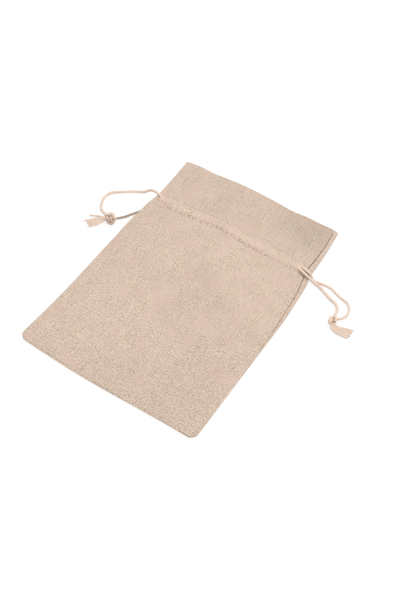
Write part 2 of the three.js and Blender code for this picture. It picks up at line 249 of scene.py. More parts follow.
# Grids of the panels
ROLL_OFFSETS = (0, 0.03, 0.1, 0.22, 0.4, 0.62, 0.9, 1.2)
CORNER_OFFSETS = (1.5, 2.1, 2.8, 3.6, 4.5, 5.5)
MOUTH_OFFSETS = (1.0, 0.8, 0.6, 0.42, 0.26, 0.14, 0.05, 0)
SEAM_OFFSETS = (1.2, 0.9, 0.62, 0.4, 0.22, 0.1, 0.03, 0)
FRONT_SPACING = 0.65
FRONT_ROW_STEPS = ((-93.5, 42.0, 1.3), (42.0, 66.0, 0.5), (66.0, 98.0, 1.2))
BACK_ROW_STEPS = ((-93.5, 20.0, 2.4), (20.0, 62.0, 1.2), (62.0, 98.0, 2.0))
BACK_COLUMNS = 70
CURL_STEPS = 10
STRIP_STEPS = 14

# Columns of what a material reads on a surface: two places along it, a ply's rise, and the painted shade
SHADE = 3
PLACE_COLUMNS = 4

# Cords, with the radius of each strand at even steps along it
CORD_RADIUS = 1.05
STRAND_RADII = {
    "left_cord_front": (1.12, 1.12, 1.08, 1.02, 1.02, 1.12, 1.26, 1.22, 1.12),
    "left_cord_back": (0.95, 0.95),
    "right_cord_inner": (1.05, 1.14, 1.08, 1.12, 1.22, 1.16, 1.05),
    "right_cord_outer": (0.92, 1.08, 1.04, 0.92, 0.92, 0.92, 0.92),
}
CORD_SIDES = 24
CORD_STEP = 0.45
CORD_LAY = 6.4
CORD_UNEVEN = 0.07
CORD_UNEVEN_SIZE = 5.0
CORD_WOBBLE = 0.14
CORD_WOBBLE_SIZE = 7.0
PLIES = 3
PLY_VALLEY = 0.84
PLY_ROUND = 0.7
CORD_SEED = 41
# Painted shade on the side of each tube that faces down and away from the key light
PAINTED_SHADE_DIRECTION = (-0.25, -0.6, -0.76)
SIDE_PAINTED_SHADE = 0.6

# Routes of the strands, from inside the bag to the knots
CORD_ROUTES = {
    "left_cord_front": [
        (-56, 54.6, 4), (-58.6, 54.9, 4.2), (-61.2, 55.6, 4.7), (-63.6, 56.4, 5.4), (-66, 57, 5.8),
        (-69.2, 57.5, 5.8), (-72.2, 57.7, 5.2), (-74.4, 57.6, 4.4), (-76, 57, 3.3), (-77.6, 56.2, 2.1),
        (-79.6, 55.2, 1.4), (-82, 54, 1.15), (-85.6, 51.9, 1.15), (-90.9, 48.1, 1.15),
        (-95.8, 44.5, 1.15), (-99.1, 41.5, 1.15), (-100.8, 37.5, 1.15), (-100.8, 32.8, 1.15),
        (-99.4, 28.4, 1.15), (-97, 24.9, 1.15), (-94, 22.4, 1.4), (-90.2, 20.7, 2.2), (-86.2, 19.8, 3),
    ],
    "left_cord_back": [
        (-57.6, 45.6, 1.15), (-60.6, 45.1, 1.15), (-63.4, 43.9, 1.15), (-65.9, 42, 1.15),
        (-68.2, 39.5, 1.15), (-70.5, 36.4, 1.15), (-72.6, 33, 1.15), (-74.6, 29.6, 1.15),
        (-76.3, 26.6, 1.4), (-77.8, 23.8, 2.2), (-79.25, 21.05, 3.1),
    ],
    "right_cord_inner": [
        (52, 53.9, 4.8), (54.6, 53.8, 4.9), (57.4, 53.6, 5.6), (60.6, 52.6, 6.7), (63.9, 51.5, 7),
        (67.2, 50.8, 6.5), (70.6, 50.6, 4.4), (73.9, 50.8, 2.1), (77.2, 50.5, 1.2), (81.3, 48.5, 1.15),
        (85.5, 46.4, 1.15), (89.8, 44.6, 1.15), (93.2, 43.8, 1.15), (95.8, 41.7, 1.3), (97.4, 38.6, 2.1),
        (98.1, 35.6, 3.3), (98.5, 33, 4),
    ],
    "right_cord_outer": [
        (53.6, 57.4, 3.6), (56.2, 57.1, 3.9), (58.6, 56.5, 4.9), (61, 55.6, 6.3), (63.4, 54.8, 7),
        (65.6, 54.3, 7.1), (67.5, 54, 6.5), (68.9, 53.7, 5), (69.8, 53.5, 3.4), (70.8, 53.4, 2.1),
        (72.8, 53.4, 1.3), (76, 53.4, 1.15), (81.6, 53.7, 1.15), (85.6, 53.2, 1.15), (90, 51.6, 1.15),
        (93.8, 50.3, 1.15), (97.2, 49.6, 1.15), (100.3, 48.6, 1.15), (102.8, 46.4, 1.15),
        (104.4, 43, 1.15), (104.8, 39.2, 1.25), (103.9, 35.6, 1.9), (101.5, 31.8, 3),
    ],
}

# Three strands sag from their routes towards the bottom of the bag: the x at which each sags most, how far
# along x that reaches, and how far it sags
SAGS = {
    "left_cord_back": (-77.5, 5.0, 0.5),
    "right_cord_inner": (67.0, 9.0, 0.9),
    "right_cord_outer": (66.0, 9.0, 1.2),
}

# Knots: the middle of each, and its windings. A winding has its cord's radius at even steps along it, and
# points right of the middle and up from it, as the camera sees them, with their height over the floor.
KNOTS = {
    "left_knot": {
        "at": (-82.64, 17.4, 3.9),
        "windings": [
            ((1.12, 1.3, 1.45, 1.3, 1.12, 1.12), [
                (-3.8, 3.6, 2.5), (-2.8, 3.1, 3.8), (-1.2, 2.9, 5.8), (0.4, 3.2, 6.8), (1.6, 3.3, 7.0),
                (2.7, 2.4, 6.6), (3.1, 1.0, 5.8), (2.8, -0.7, 4.2), (1.5, -2.2, 2.6), (-0.4, -2.0, 1.5),
            ]),
            ((1.12, 1.12), [
                (-1.4, 2.4, 3.6), (-1.6, 1.3, 4.8), (-1.4, 0.1, 5.2), (-0.7, -1.1, 4.9), (0.1, -2.3, 3.9),
                (0.6, -3.4, 2.2),
            ]),
            ((1.12, 1.12), [
                (0.6, 2.6, 3.8), (0.8, 1.4, 5.0), (1.0, 0.2, 5.4), (1.3, -1.1, 5.0), (1.5, -2.3, 3.9),
                (1.5, -3.4, 2.2),
            ]),
            ((0.95, 1.12), [
                (4.6, 0.2, 3.1), (3.7, -0.7, 3.8), (3.1, -2.3, 3.8), (2.0, -3.8, 3.3), (0.5, -4.0, 3.2),
                (-1.0, -2.9, 3.3), (-2.1, -1.1, 2.9), (-1.9, 1.0, 2.0),
            ]),
            ((1.12, 1.12), [
                (2.0, 0.0, 2.3), (1.2, 1.7, 3.3), (-0.8, 2.0, 3.4), (-2.2, 0.6, 2.6), (-1.8, -1.3, 1.6),
                (0.2, -2.0, 1.2), (1.8, -1.0, 1.7), (2.0, 0.0, 2.3),
            ]),
        ],
    },
    "right_knot": {
        "at": (98.98, 28.15, 3.6),
        "windings": [
            ((1.05, 1.0), [
                (2.3, 3.9, 4.0), (2.3, 2.2, 5.1), (2.2, 0.8, 5.0), (1.9, -0.4, 4.3), (1.4, -1.5, 3.2),
            ]),
            ((0.7, 1.3, 1.5, 1.2), [
                (-0.6, 3.1, 4.6), (-1.2, 1.7, 5.0), (-1.8, -0.1, 4.4), (-1.7, -2.1, 2.7),
            ]),
            ((1.0, 1.0), [(1.1, 2.2, 3.6), (0.9, 0.9, 3.4), (0.7, -0.5, 3.0), (0.6, -1.8, 2.4)]),
            ((1.0, 1.0), [(0.2, -2.4, 1.4), (1.6, -0.9, 1.5), (1.4, 1.4, 2.6), (0.5, 2.0, 3.4)]),
            ((0.92, 1.0), [(4.1, 1.0, 3.0), (2.6, 1.5, 3.2), (0.8, 1.4, 3.0), (-0.8, 0.2, 2.4)]),
        ],
    },
}
KNOT_STEP = 0.25
# Painted shade in creases between windings and locks: its reach in radii, and its depth on each
CREASE_REACH = (1.0, 1.4)
KNOT_PAINTED_CREASE_SHADE = 0.8
TAIL_PAINTED_CREASE_SHADE = 0.2

# Frayed ends: the two outermost locks of each tail, placed as the windings are; how far each lock reaches,
# from the upper one to the lower one, as a share of its full length; the locks' radius at the root, the
# belly and the tip; single yarns that lie apart; and the seed of the fine yarns at the tips
TAILS = {
    "left_knot": {
        "upper": [
            (-2.6, 0.9, 3.4), (-5.2, 0.7, 2.6), (-8.8, 0.7, 1.4), (-14.4, -0.4, 0.95), (-19.4, -1.2, 0.8),
        ],
        "lower": [
            (-2.4, -0.5, 2.8), (-4.9, -1.2, 2.0), (-7.5, -2.7, 1.2), (-11.2, -4.7, 0.95),
            (-15.9, -5.7, 0.8),
        ],
        "reach": (1.0, 0.95, 0.98, 0.93, 1.0),
        "radius": (0.8, 1.05, 0.65),
        "apart": [[(-2.6, 1.2, 3.4), (-5.5, 1.6, 2.4), (-9.3, 2.5, 1.0), (-15.9, 3.1, 0.5)]],
        "seed": 31,
    },
    "right_knot": {
        "upper": [
            (1.2, -0.9, 4.4), (2.1, -3.1, 2.8), (5.6, -4.9, 1.2), (9.6, -5.7, 0.9), (13.5, -7.1, 0.85),
        ],
        "lower": [
            (-0.4, -1.5, 4.2), (-1.2, -4.0, 2.6), (1.4, -7.3, 1.2), (5.8, -9.8, 0.9), (10.3, -11.6, 0.85),
        ],
        "reach": (1.0, 0.98, 0.97, 0.94, 0.97),
        "radius": (0.7, 0.95, 0.9),
        "apart": [],
        "seed": 32,
    },
}
LOCK_SIDES = 28
LOCK_PLIES = 7
LOCK_LAY = 34.0
LOCK_STEP = 0.5
APART_RADIUS = 0.7
TIP_YARNS = 5
TIP_YARN_RADIUS = (0.15, 0.24)
TIP_YARN_FROM = 0.55
TIP_YARN_PAST = (-0.8, 0.9)
TIP_YARN_SIDES = 6

# Painted shadow on the strand that runs under the cloth, and painted shade on its knot's lower half
SHADOWED_STRAND = "left_cord_back"
SHADOWED_STRAND_SHADE = 0.62
SHADOWED_KNOT = "left_knot"
SHADOWED_KNOT_SHADE = 0.4
SHADOWED_KNOT_ABOVE = (-0.8, 1.4)

# Noises of the materials: a layer that keeps each unlike the others, its size both ways, and how many finer
# steps it has
WARP_SWAY_NOISE = (2.0, (9.0, 14.0), 2.0)
WEFT_SWAY_NOISE = (7.0, (14.0, 9.0), 2.0)
WARP_SLUB_NOISE = (11.0, (1.0, 9.0), 1.0)
WEFT_SLUB_NOISE = (17.0, (9.0, 1.0), 1.0)
STREAK_NOISE = (23.0, (2.4, 11.0), 1.0)
FLECK_NOISE = (31.0, (0.7, 1.5), 0.0)
PATCH_NOISE = (37.0, (10.0, 15.0), 3.0)
GRAIN_NOISE = (41.0, (0.95, 1.05), 0.0)
CLOUD_NOISE = (53.0, (15.0, 18.0), 1.0)
FIBRE_NOISE = (3.0, (2.6, 0.16), 2.0)
COTTON_NOISE = (9.0, (5.0, 2.0), 1.0)
NOISE_RANGE = (0.3, 0.7)

# Linen, in millimetres across and along the threads, with tones as shares of its colour
WARP_PITCH = 0.63
WEFT_PITCH = 0.86
SWAY = 1.4
THREAD_DIP = 0.4
THREAD_TOP = 0.7
# Painted shade in the gaps between threads and painted light on their tops
GAP_PAINTED_SHADE = 0.84
TOP_PAINTED_LIGHT = 1.06
GRAIN_TONE = 0.245
REED_TONE = 0.235
PICK_TONE = 0.05
SLUB_TONE = 0.062
THREAD_STEP = 3.7
STREAK_TONE = 0.04
PATCH_RANGE = (0.36, 0.64)
PATCH_QUIET = 0.5
CLOUD_TONE = 0.03
FLECK_FROM = 0.745
FLECK_EDGE = 0.04
FLECK_SHARE = 0.6
# Tone at a full share of the front panel's painted shade; a negative share is painted light
PAINTED_SHADE_TONE = 0.7
WEAVE_RELIEF = 0.08
LINEN_ROUGHNESS = 0.92
LINEN_SHEEN = 0.12
CLOTH_SPECULAR = 0.18
SHEEN_ROUGHNESS = 0.6

# Cotton, with tones as shares of its colour
COTTON_TONES = (0.94, 1.05)
FIBRE_RELIEF = 0.05
FIBRE_TONE_RANGE = (0.3, 0.6, 0.6, 1.0)
# Painted shade between the plies, from a ply's rise to a share of the light colour
PLY_PAINTED_SHADE = (0.1, 0.8, 0.35, 1.0)
COTTON_ROUGHNESS = 0.88
COTTON_SHEEN = 0.15

# Colours, linear
LINEN_PINK = (0.709, 0.536, 0.438)
LINEN_GREEN = (0.677, 0.543, 0.427)
LINEN_FLECK = (0.27, 0.18, 0.12)
COTTON = (0.900, 0.725, 0.600)
# Darker cotton, towards which the painted shade between plies and the darker fibres go
COTTON_DARK = (0.690, 0.530, 0.425)
# Colours towards which painted shade goes, and a darker one for the strand's painted shadow
COTTON_PAINTED_SHADE = (0.270, 0.165, 0.115)
COTTON_PAINTED_SHADOW = (0.190, 0.145, 0.095)
THREAD = (0.960, 0.800, 0.680)
WHITE = (1.0, 1.0, 1.0)
FLOOR_WHITE = (0.25, 0.25, 0.25)
FLOOR_GLOW = 0.8
FLOOR_ROUGHNESS = 1.0
FLOOR_SPECULAR = 0.0

# Light
WORLD_STRENGTH = 0.78
KEY_AT = (220.0, 640.0, 1300.0)
KEY_SIZE = 900.0
KEY_POWER = 7.5
FLOOR_SIZE = 6000.0
FLOOR_DROP = 0.1

# Sockets of the mix node, which has some for numbers and some for colours
MIX_SHARE = 0
MIX_NUMBERS = (2, 3)
MIX_COLOURS = (6, 7)
MIXED_NUMBER = 0
MIXED_COLOUR = 2


def smooth(value, low, high):
    """0 below low, 1 above high, and a soft step between them."""
    t = np.clip((value - low) / (high - low), 0, 1)
    return t * t * (3 - 2 * t)


def bump(distance, width):
    """1 in the middle of a soft hill, falling to 0 on both sides."""
    return np.exp(-((distance / width) ** 2))


def roll(distance, radius):
    """Share of the full height on a rounded edge, at a distance in from it."""
    return np.sqrt(1 - (1 - np.clip(distance / radius, 0, 1)) ** 2)


def curve_through(places, values, at):
    """Cubic curve through a table's points, the slope at each taken from its neighbours."""
    count = np.arange(len(places))
    before = np.maximum(count - 1, 0)
    after = np.minimum(count + 1, len(places) - 1)
    slopes = (values[after] - values[before]) / (places[after] - places[before])
    at = np.clip(at, places[0], places[-1])
    low = np.clip(np.searchsorted(places, at, side="right") - 1, 0, len(places) - 2)
    span = places[low + 1] - places[low]
    t = (at - places[low]) / span
    pull = t * (1 - t) ** 2 * slopes[low] - t ** 2 * (1 - t) * slopes[low + 1]
    return values[low] + (values[low + 1] - values[low]) * t ** 2 * (3 - 2 * t) + span * pull


def soft_noise(x, y, size, seed):
    """Smooth unevenness from -1 to 1, in lumps of the given size."""
    lattice = np.random.default_rng(seed).uniform(-1, 1, (NOISE_CELLS, NOISE_CELLS))
    column = np.floor(x / size).astype(int)
    row = np.floor(y / size).astype(int)
    across = smooth(x / size - column, 0, 1)
    along = smooth(y / size - row, 0, 1)

    def corner(i, j):
        return lattice[(column + i) % NOISE_CELLS, (row + j) % NOISE_CELLS]

    near = corner(0, 0) * (1 - across) + corner(1, 0) * across
    far = corner(0, 1) * (1 - across) + corner(1, 1) * across
    return near * (1 - along) + far * along


def distance_to_segment(x, y, x0, y0, x1, y1):
    along, across = x1 - x0, y1 - y0
    share = np.clip(((x - x0) * along + (y - y0) * across) / (along ** 2 + across ** 2), 0, 1)
    return np.hypot(x - x0 - share * along, y - y0 - share * across)


def section(name, y):
    return curve_through(SECTIONS["y"], SECTIONS[name], y)


def tunnel_line(name, x):
    return curve_through(TUNNEL["x"], TUNNEL[name], x)


def corner_inset(y):
    """How far the side edges draw in at the rounded bottom corners."""
    short = np.maximum(CORNER_RADIUS - (y - BOTTOM), 0)
    return CORNER_RADIUS - np.sqrt(CORNER_RADIUS ** 2 - short ** 2)


def left_edge(y):
    return section("left", y) + corner_inset(y)


def right_edge(y):
    return section("right", y) - corner_inset(y)


def seam_line(y):
    return right_edge(y) - section("shown", y) * (section("side", y) / 2 + section("strip", y))


def seam_gap(y):
    return curve_through(SEAM_GAPS["y"], SEAM_GAPS["gap"], y)


def rim_distance(x, row):
    """Distance in from the bag's left, right or bottom edge, up to the corner radius."""
    left_of = section("left", row) + CORNER_RADIUS - x
    right_of = x - section("right", row) + CORNER_RADIUS
    sideways = np.maximum(np.maximum(left_of, right_of), 0)
    down = np.maximum(BOTTOM + CORNER_RADIUS - row, 0)
    return CORNER_RADIUS - np.hypot(sideways, down)


def bowed(x, y):
    """Rows near the bottom and the mouth follow those edges, which aren't quite straight."""
    share = (y - BOTTOM) / (MOUTH - BOTTOM)
    bottom = curve_through(ENDS["x"], ENDS["bottom"], x) * (1 - share) ** BOTTOM_FADE
    mouth = curve_through(ENDS["x"], ENDS["mouth"], x) * share ** MOUTH_FADE
    return y + bottom + mouth


def tunnel_row(x, row):
    """Rows near the tunnel follow its ridge and its stitched line."""
    rows = (TUNNEL_ROWS_FROM, STITCH_ROW, RIDGE_ROW, TUNNEL_ROWS_TO)
    lines = (TUNNEL_ROWS_FROM, tunnel_line("stitch", x), tunnel_line("ridge", x), TUNNEL_ROWS_TO)
    y = row + 0 * x
    for low, high, start, end in zip(rows, rows[1:], lines, lines[1:]):
        between = start + (row - low) * (end - start) / (high - low)
        y = np.where((row > low) & (row <= high), between, y)
    return y


def lift(x, y, reach):
    """Height of the cloth over the strand that runs under its left border."""
    route = CORD_ROUTES["left_cord_back"]
    nearest = np.min([
        distance_to_segment(x, y, start[0], start[1], end[0], end[1])
        for start, end in zip(route, route[1:])
    ], axis=0)
    return LIFT_HEIGHT * (1 - smooth(nearest, LIFT_FLAT, reach))


def tunnel_ends(x):
    """1 along the tunnel, falling to 0 past its two ends."""
    return (smooth(x, TUNNEL_LEFT_END - TUNNEL_END_SLOPE, TUNNEL_LEFT_END)
            * (1 - smooth(x, TUNNEL_RIGHT_END, TUNNEL_RIGHT_END + TUNNEL_END_SLOPE)))


def tunnel_rise(x, y):
    """Rise of the tunnel's ridge and its two stitched lines over the cloth around them."""
    from_ridge = y - tunnel_line("ridge", x)
    ridge = RIDGE_RISE * bump(from_ridge, RIDGE_WIDTH)
    stitch = STITCH_RISE * bump(y - tunnel_line("stitch", x), STITCH_WIDTH)
    upper = UPPER_STITCH_RISE * bump(from_ridge - UPPER_STITCH_OFFSET, STITCH_WIDTH)
    return tunnel_ends(x) * (ridge + stitch + upper)


def fold_rise(x, y):
    return sum(rise * bump(distance_to_segment(x, y, x0, y0, x1, y1), width)
               for x0, y0, x1, y1, width, rise in FOLDS)


def pucker_rise(x, y):
    """Small uneven pleats that the tunnel's stitches draw in the cloth on both sides of them."""
    rng = np.random.default_rng(PUCKER_SEED)
    from_stitch = y - tunnel_line("stitch", x)
    total = np.zeros(np.broadcast(x, y).shape)
    for place in np.linspace(TUNNEL_LEFT_END, TUNNEL_RIGHT_END, PUCKERS):
        middle = place + rng.uniform(-PUCKER_SHIFT, PUCKER_SHIFT)
        lean = rng.uniform(-PUCKER_LEAN, PUCKER_LEAN)
        width = rng.uniform(*PUCKER_WIDTH)
        height = rng.uniform(*PUCKER_HEIGHT) * rng.choice((-1, 1))
        below, above = rng.uniform(*PUCKER_BELOW), rng.uniform(*PUCKER_ABOVE)
        fade = np.exp(-np.where(from_stitch < 0, -from_stitch / below, from_stitch / above))
        total += height * fade * bump(x - middle - lean * from_stitch, width)
    return tunnel_ends(x) * total


def stitch_places(row):
    """Where the stitches of a row begin, as uneven as hand-guided sewing."""
    rng = np.random.default_rng([STITCH_SEED, int(row)])
    even = np.arange(TUNNEL_LEFT_END + STITCH_PITCH, TUNNEL_RIGHT_END - STITCH_PITCH, STITCH_PITCH)
    return even + rng.uniform(-STITCH_SHIFT, STITCH_SHIFT, len(even))


def stitch_dimples(x, row):
    """How far the thread pulls the cloth down where it goes in, as a share of the deepest place."""
    total = np.zeros(np.broadcast(x, row).shape)
    for line, share in ((STITCH_ROW, 1.0), (UPPER_STITCH_ROW, UPPER_STITCH_SHARE)):
        rng = np.random.default_rng([STITCH_SEED, int(line), DIMPLE_SEED])
        across = share * bump(row - line, STITCH_DIMPLE_WIDTH)
        for place in stitch_places(line):
            depth = rng.uniform(STITCH_DIMPLE_LEAST, 1.0)
            total += depth * across * bump(x - place + STITCH_DIMPLE_LENGTH, STITCH_DIMPLE_LENGTH)
    return np.minimum(total, 1.0)


def front_height(x, y, row):
    """Upper face of the front panel's solid. The row is the unbowed y."""
    left = left_edge(row)
    seam = seam_line(row)
    across = (2 * x - left - seam) / (seam - left)
    cloth = SOLID_CLOTH + (SOLID_HEADING - SOLID_CLOTH) * smooth(row, STITCH_ROW, RIDGE_ROW)
    flat = SOLID_CLOTH + SOLID_GAP + cloth
    edge = flat + (section("side", row) - flat) * (1 + across) / 2
    crown = (section("crown", row) - edge) * (1 - np.abs(across) ** CROWN_POWER)
    free = edge + crown + fold_rise(x, y) + tunnel_rise(x, y)
    rise = lift(x, y, LIFT_FRONT_REACH)
    raised = flat + rise
    return (free + raised + np.hypot(free - raised, LIFT_SOFTNESS * rise)) / 2


def front_points(x, row):
    """Points of the front panel's outer face, rolled down at the rim and into the seam."""
    y = bowed(x, tunnel_row(x, row))
    rim = rim_distance(x, row)
    lumps = sum(height * soft_noise(x, y, size, seed) for size, height, seed in LUMPS)
    dimples = STITCH_DIMPLE * stitch_dimples(x, row)
    fine = pucker_rise(x, y) - dimples + lumps * smooth(rim, 0, LUMP_EDGE_FADE)
    half = np.where(x < 0, EDGE_MIDDLE, section("side", row) / 2)
    rounded = np.where(x < 0, EDGE_MIDDLE, SIDE_SHARPNESS * half)
    middle = half + RIM_GAP + np.where(x < 0, lift(x, y, LIFT_FRONT_REACH), 0)
    from_seam = seam_line(row) - seam_gap(row) - x
    into_seam = SEAM_DROP * section("shown", row) * (1 - roll(from_seam, SEAM_ROLL))
    z = middle + (front_height(x, y, row) + fine - into_seam - middle) * roll(rim, rounded)
    return np.stack(np.broadcast_arrays(x, y, z), axis=-1)


def back_points(x, row, upper):
    """Points of the back panel's outer face: under the bag, or on the strip that shows on its front."""
    y = bowed(x, row)
    rim = rim_distance(x, row)
    half = section("side", row) / 2
    middle = EDGE_MIDDLE - RIM_GAP + (half - EDGE_MIDDLE + RIM_GAP) * smooth(x, 0, RIM_BLEND)
    under = middle * (1 - roll(rim, middle)) + lift(x, y, LIFT_BACK_REACH)
    into_seam = SEAM_DROP * section("shown", row) * (1 - roll(x - seam_line(row), SEAM_ROLL))
    over = half + (half - into_seam) * roll(rim, SIDE_SHARPNESS * half)
    return np.stack(np.broadcast_arrays(x, y, np.where(upper, over, under)), axis=-1)


def cloth_thickness(row):
    """The turned heading is two layers of cloth."""
    return LINEN + (HEADING - LINEN) * smooth(row, STITCH_ROW, RIDGE_ROW)


def sheet_faces(points, row, inward):
    """The outer and inner faces of a cloth, rounded together at the mouth."""
    across = np.gradient(points, axis=1)
    along = np.gradient(points, axis=0)
    normal = np.cross(across, along)
    normal *= inward / np.maximum(np.linalg.norm(normal, axis=-1, keepdims=True), TINY)
    half = cloth_thickness(row) / 2
    full = roll(MOUTH - row, half)
    outer = points + normal * (half * (1 - full))[..., None]
    inner = points + normal * (half * (1 + full))[..., None]
    return outer, inner


def grid_rows(steps):
    """Rows of a panel from the bottom to the mouth."""
    middle = [np.arange(start, end, step) for start, end, step in steps]
    bottom = BOTTOM + np.array(ROLL_OFFSETS + CORNER_OFFSETS)
    rows = [bottom[bottom < steps[0][0]], *middle, MOUTH - np.array(MOUTH_OFFSETS)]
    return np.concatenate(rows)[:, None]


def quads(rows, width, start=0):
    """Corner indices of a grid's faces, anticlockwise where rows run up and columns run right."""
    r, c = np.meshgrid(np.arange(rows - 1), np.arange(width - 1), indexing="ij")
    a = (start + r * width + c).ravel()
    return np.stack([a, a + 1, a + width + 1, a + width], axis=1)


def new_object(name, data):
    """A new object in the scene."""
    made = bpy.data.objects.new(name, data)
    bpy.context.scene.collection.objects.link(made)
    return made


def make_piece(name, material, shape):
    """A smooth mesh object from points in millimetres, its faces, and what its material reads on it."""
    points, faces, places = shape
    mesh = bpy.data.meshes.new(name)
    mesh.from_pydata((points * MM).tolist(), [], [list(face) for face in faces])
    mesh.polygons.foreach_set("use_smooth", np.ones(len(mesh.polygons), bool))
    attribute = mesh.attributes.new("place", "FLOAT_VECTOR", "POINT")
    attribute.data.foreach_set("vector", places[:, :SHADE].astype(np.float32).ravel())
    shade = mesh.attributes.new("shade", "FLOAT", "POINT")
    shade.data.foreach_set("value", places[:, SHADE].astype(np.float32))
    mesh.materials.append(material)
    mesh.update()
    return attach(new_object(name, mesh), "root")


def make_sheet(name, upper, lower, material, places):
    """A closed sheet between two grids of points, its upper one facing up."""
    rows, width = upper.shape[:2]
    under = rows * width
    index = np.arange(under).reshape(rows, width)
    faces = [quads(rows, width), quads(rows, width, under)[:, ::-1]]
    for line in (index[0, ::-1], index[-1], index[:, 0], index[::-1, -1]):
        start, end = line[:-1], line[1:]
        faces.append(np.stack([start, end, end + under, start + under], axis=1))
    points = np.concatenate([upper.reshape(-1, 3), lower.reshape(-1, 3)])
    return make_piece(name, material, (points, np.concatenate(faces), np.concatenate([places, places])))


def travelled_along(path):
    """Length of a path up to each of its points."""
    steps = np.linalg.norm(np.diff(path, axis=0), axis=1)
    return np.concatenate([[0], np.cumsum(steps)])


def path_through(route, step):
    """A smooth path through given points, sampled at even steps."""
    route = np.array(route, float)
    places = travelled_along(route)
    at = np.linspace(0, places[-1], max(int(places[-1] / step), 2) + 1)
    return np.stack([curve_through(places, route[:, axis], at) for axis in range(3)], axis=1)


def frames_along(path):
    """Two directions square to a path at each of its points, turned as little as possible."""
    ahead = np.gradient(path, axis=0)
    ahead /= np.linalg.norm(ahead, axis=1, keepdims=True)
    first = np.cross(ahead[0], (0.0, 0.0, 1.0))
    first = first if np.linalg.norm(first) > TINY else np.array((1.0, 0.0, 0.0))
    normals = []
    for direction in ahead:
        first = first - direction * (first @ direction)
        first = first / np.linalg.norm(first)
        normals.append(first)
    normals = np.array(normals)
    return normals, np.cross(ahead, normals)


def tube(path, radius, sides, plies=0, lay=1.0):
    """Points, faces and surface places of a closed tube, with twisted plies if any are asked for."""
    normals, others = frames_along(path)
    travelled = travelled_along(path)
    angle = np.linspace(0, 2 * np.pi, sides, endpoint=False)[None, :]
    twist = angle - 2 * np.pi * travelled[:, None] / lay
    valley = 1 - PLY_VALLEY if plies else 0.0
    lobe = np.abs(np.cos(plies * twist / 2)) ** PLY_ROUND
    reach = np.broadcast_to(radius, len(path))[:, None] * (1 - valley * (1 - lobe))
    ring = (normals[:, None] * np.cos(angle)[..., None] + others[:, None] * np.sin(angle)[..., None])
    points = (path[:, None] + ring * reach[..., None]).reshape(-1, 3)
    # Painted shade on the side facing down and away from the key light
    shade = SIDE_PAINTED_SHADE * smooth(ring @ np.array(PAINTED_SHADE_DIRECTION), 0, 1)
    columns_here = np.broadcast_arrays(travelled[:, None], angle * CORD_RADIUS, lobe, shade)
    places = np.stack(columns_here, axis=-1).reshape(-1, PLACE_COLUMNS)
    start = np.arange(len(path) - 1)[:, None] * sides
    here = start + np.arange(sides)[None, :]
    beside = start + (np.arange(sides)[None, :] + 1) % sides
    around = np.stack([here, beside, beside + sides, here + sides], axis=-1).reshape(-1, 4)
    faces = [list(face) for face in around]
    faces.append(list(range(sides))[::-1])
    faces.append(list(range(len(points) - sides, len(points))))
    return points, faces, places


def joined(parts):
    """Several sets of points, faces and surface places as one."""
    points, faces, places, count = [], [], [], 0
    for part_points, part_faces, part_places in parts:
        points.append(part_points)
        faces += [[index + count for index in face] for face in part_faces]
        places.append(part_places)
        count += len(part_points)
    return np.concatenate(points), faces, np.concatenate(places)


def fill(tree, made, inputs):
    """Set or link a node's inputs."""
    for socket, value in inputs.items():
        if isinstance(value, bpy.types.NodeSocket):
            tree.links.new(value, made.inputs[socket])
        else:
            made.inputs[socket].default_value = value


def node(tree, kind, inputs=None, **settings):
    """A new node with its settings and its inputs."""
    made = tree.nodes.new(kind)
    for name, value in settings.items():
        setattr(made, name, value)
    fill(tree, made, inputs or {})
    return made


class Number:
    """A number that a material works out at each point of a surface."""

    def __init__(self, tree, socket):
        self.tree = tree
        self.socket = socket

    def math(self, operation, other=0.0):
        other = other.socket if isinstance(other, Number) else other
        made = node(self.tree, "ShaderNodeMath", {0: self.socket, 1: other}, operation=operation)
        return Number(self.tree, made.outputs[0])

    def __add__(self, other):
        return self.math("ADD", other)

    def __mul__(self, other):
        return self.math("MULTIPLY", other)

    def __truediv__(self, other):
        return self.math("DIVIDE", other)

    def __pow__(self, other):
        return self.math("POWER", other)

    def spread(self, low, high, start=0.0, end=1.0):
        """From start to end as this number goes from low to high."""
        limits = {"Value": self.socket, "From Min": low, "From Max": high, "To Min": start, "To Max": end}
        return Number(self.tree, node(self.tree, "ShaderNodeMapRange", limits).outputs[0])

    def choose(self, zero, one):
        """The first number where this one is 0, the second where it is 1."""
        inputs = {MIX_SHARE: self.socket, MIX_NUMBERS[0]: zero.socket, MIX_NUMBERS[1]: one.socket}
        made = node(self.tree, "ShaderNodeMix", inputs)
        return Number(self.tree, made.outputs[MIXED_NUMBER])

    def between(self, first, second):
        """A colour from the first to the second as this number goes from 0 to 1."""
        inputs = {MIX_SHARE: self.socket, MIX_COLOURS[0]: first, MIX_COLOURS[1]: second}
        made = node(self.tree, "ShaderNodeMix", inputs, data_type="RGBA")
        return made.outputs[MIXED_COLOUR]

    def of_colour(self, colour):
        """A colour times this number."""
        inputs = {0: colour, "Scale": self.socket}
        made = node(self.tree, "ShaderNodeVectorMath", inputs, operation="SCALE")
        return made.outputs[0]


def opaque(colour):
    """A colour with nothing seen through it."""
    return (*colour, 1)


def noise(u, v, layer, size, detail):
    """Noise over a surface, in lumps of the given two sizes."""
    tree = u.tree
    parts = {0: (u / size[0]).socket, 1: (v / size[1]).socket, 2: layer}
    place = node(tree, "ShaderNodeCombineXYZ", parts)
    made = node(tree, "ShaderNodeTexNoise", {"Vector": place.outputs[0], "Scale": 1.0, "Detail": detail})
    return Number(tree, made.outputs["Fac"])


def wave(u, v, layer, size, detail):
    """Noise from about -1 to 1."""
    return noise(u, v, layer, size, detail).spread(*NOISE_RANGE, -1.0, 1.0)


